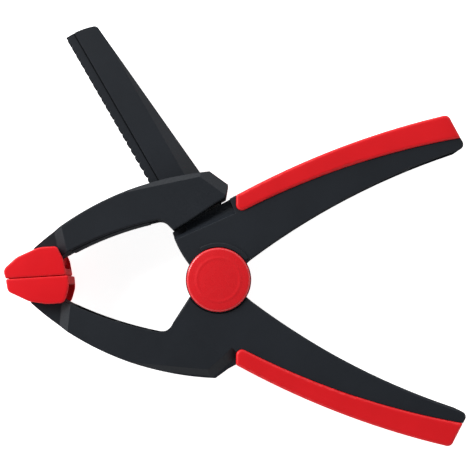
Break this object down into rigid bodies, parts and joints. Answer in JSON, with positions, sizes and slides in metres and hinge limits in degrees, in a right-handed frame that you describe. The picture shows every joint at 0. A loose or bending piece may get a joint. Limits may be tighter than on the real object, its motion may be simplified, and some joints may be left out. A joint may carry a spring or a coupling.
{
  "type": "adjustable spring clamp",
  "caption": "Sprung plastic hand clamp with red grips, swivelling soft pads and an upper jaw that slides along a toothed bar to set the opening.",
  "frame": {"origin": "on the pivot axis, at the flat outer face of the rear cap, with the clamp lying on its back", "axes": "+X from the jaws towards the handles, +Y from the fixed jaw towards the sliding jaw, +Z along the pivot axis towards the front face"},
  "size_m": [0.1839, 0.1693, 0.0246],
  "materials": {
    "black_nylon": "fine matte grain",
    "red_soft_grip": "smooth soft satin",
    "red_soft_pad": "smooth soft satin",
    "red_gloss_cap": "gloss",
    "bright_steel": "zinc plated",
    "spring_steel": "oiled wire",
    "natural_acetal": "satin"
  },
  "bodies": {
    "lower": {"lower_lever": "black_nylon", "lower_grip": "red_soft_grip", "pivot_pin": "bright_steel", "push_nut": "spring_steel", "front_thrust_washer": "bright_steel", "rear_thrust_washer": "bright_steel", "spring_bush": "natural_acetal", "torsion_spring": "spring_steel", "front_cap": "red_gloss_cap", "rear_cap": "red_gloss_cap", "fixed_pad_pin": "bright_steel"},
    "upper": {"upper_lever": "black_nylon", "upper_grip": "red_soft_grip"},
    "jaw": {"sliding_jaw": "black_nylon", "sliding_pad_pin": "bright_steel"},
    "upper_pad": {"sliding_jaw_pad": "red_soft_pad"},
    "lower_pad": {"fixed_jaw_pad": "red_soft_pad"}
  },
  "joints": [
    {"name": "handle_squeeze", "type": "hinge", "parent": "lower", "child": "upper", "pos_m": [0, 0, 0.0122], "axis": [0, 0, -1], "range_deg": [0, 35], "stiffness_Nm_per_rad": 1.2, "springref_deg": -85.94, "deforming": ["torsion_spring"]},
    {"name": "jaw_slide", "type": "slide", "parent": "upper", "child": "jaw", "axis": [-0.5, 0.866, 0], "range_m": [0, 0.066]},
    {"name": "upper_pad_swivel", "type": "hinge", "parent": "jaw", "child": "upper_pad", "pos_m": [-0.0723, 0.0082, 0.0122], "axis": [0, 0, 1], "range_deg": [0, 12.5]},
    {"name": "lower_pad_swivel", "type": "hinge", "parent": "lower", "child": "lower_pad", "pos_m": [-0.072, -0.0054, 0.0122], "axis": [0, 0, -1], "range_deg": [0, 12.5]}
  ],
  "couplings": [
    {"joint": "upper_pad_swivel", "follows": "handle_squeeze", "ratio": 0.35},
    {"joint": "lower_pad_swivel", "follows": "handle_squeeze", "ratio": 0.35}
  ]
}
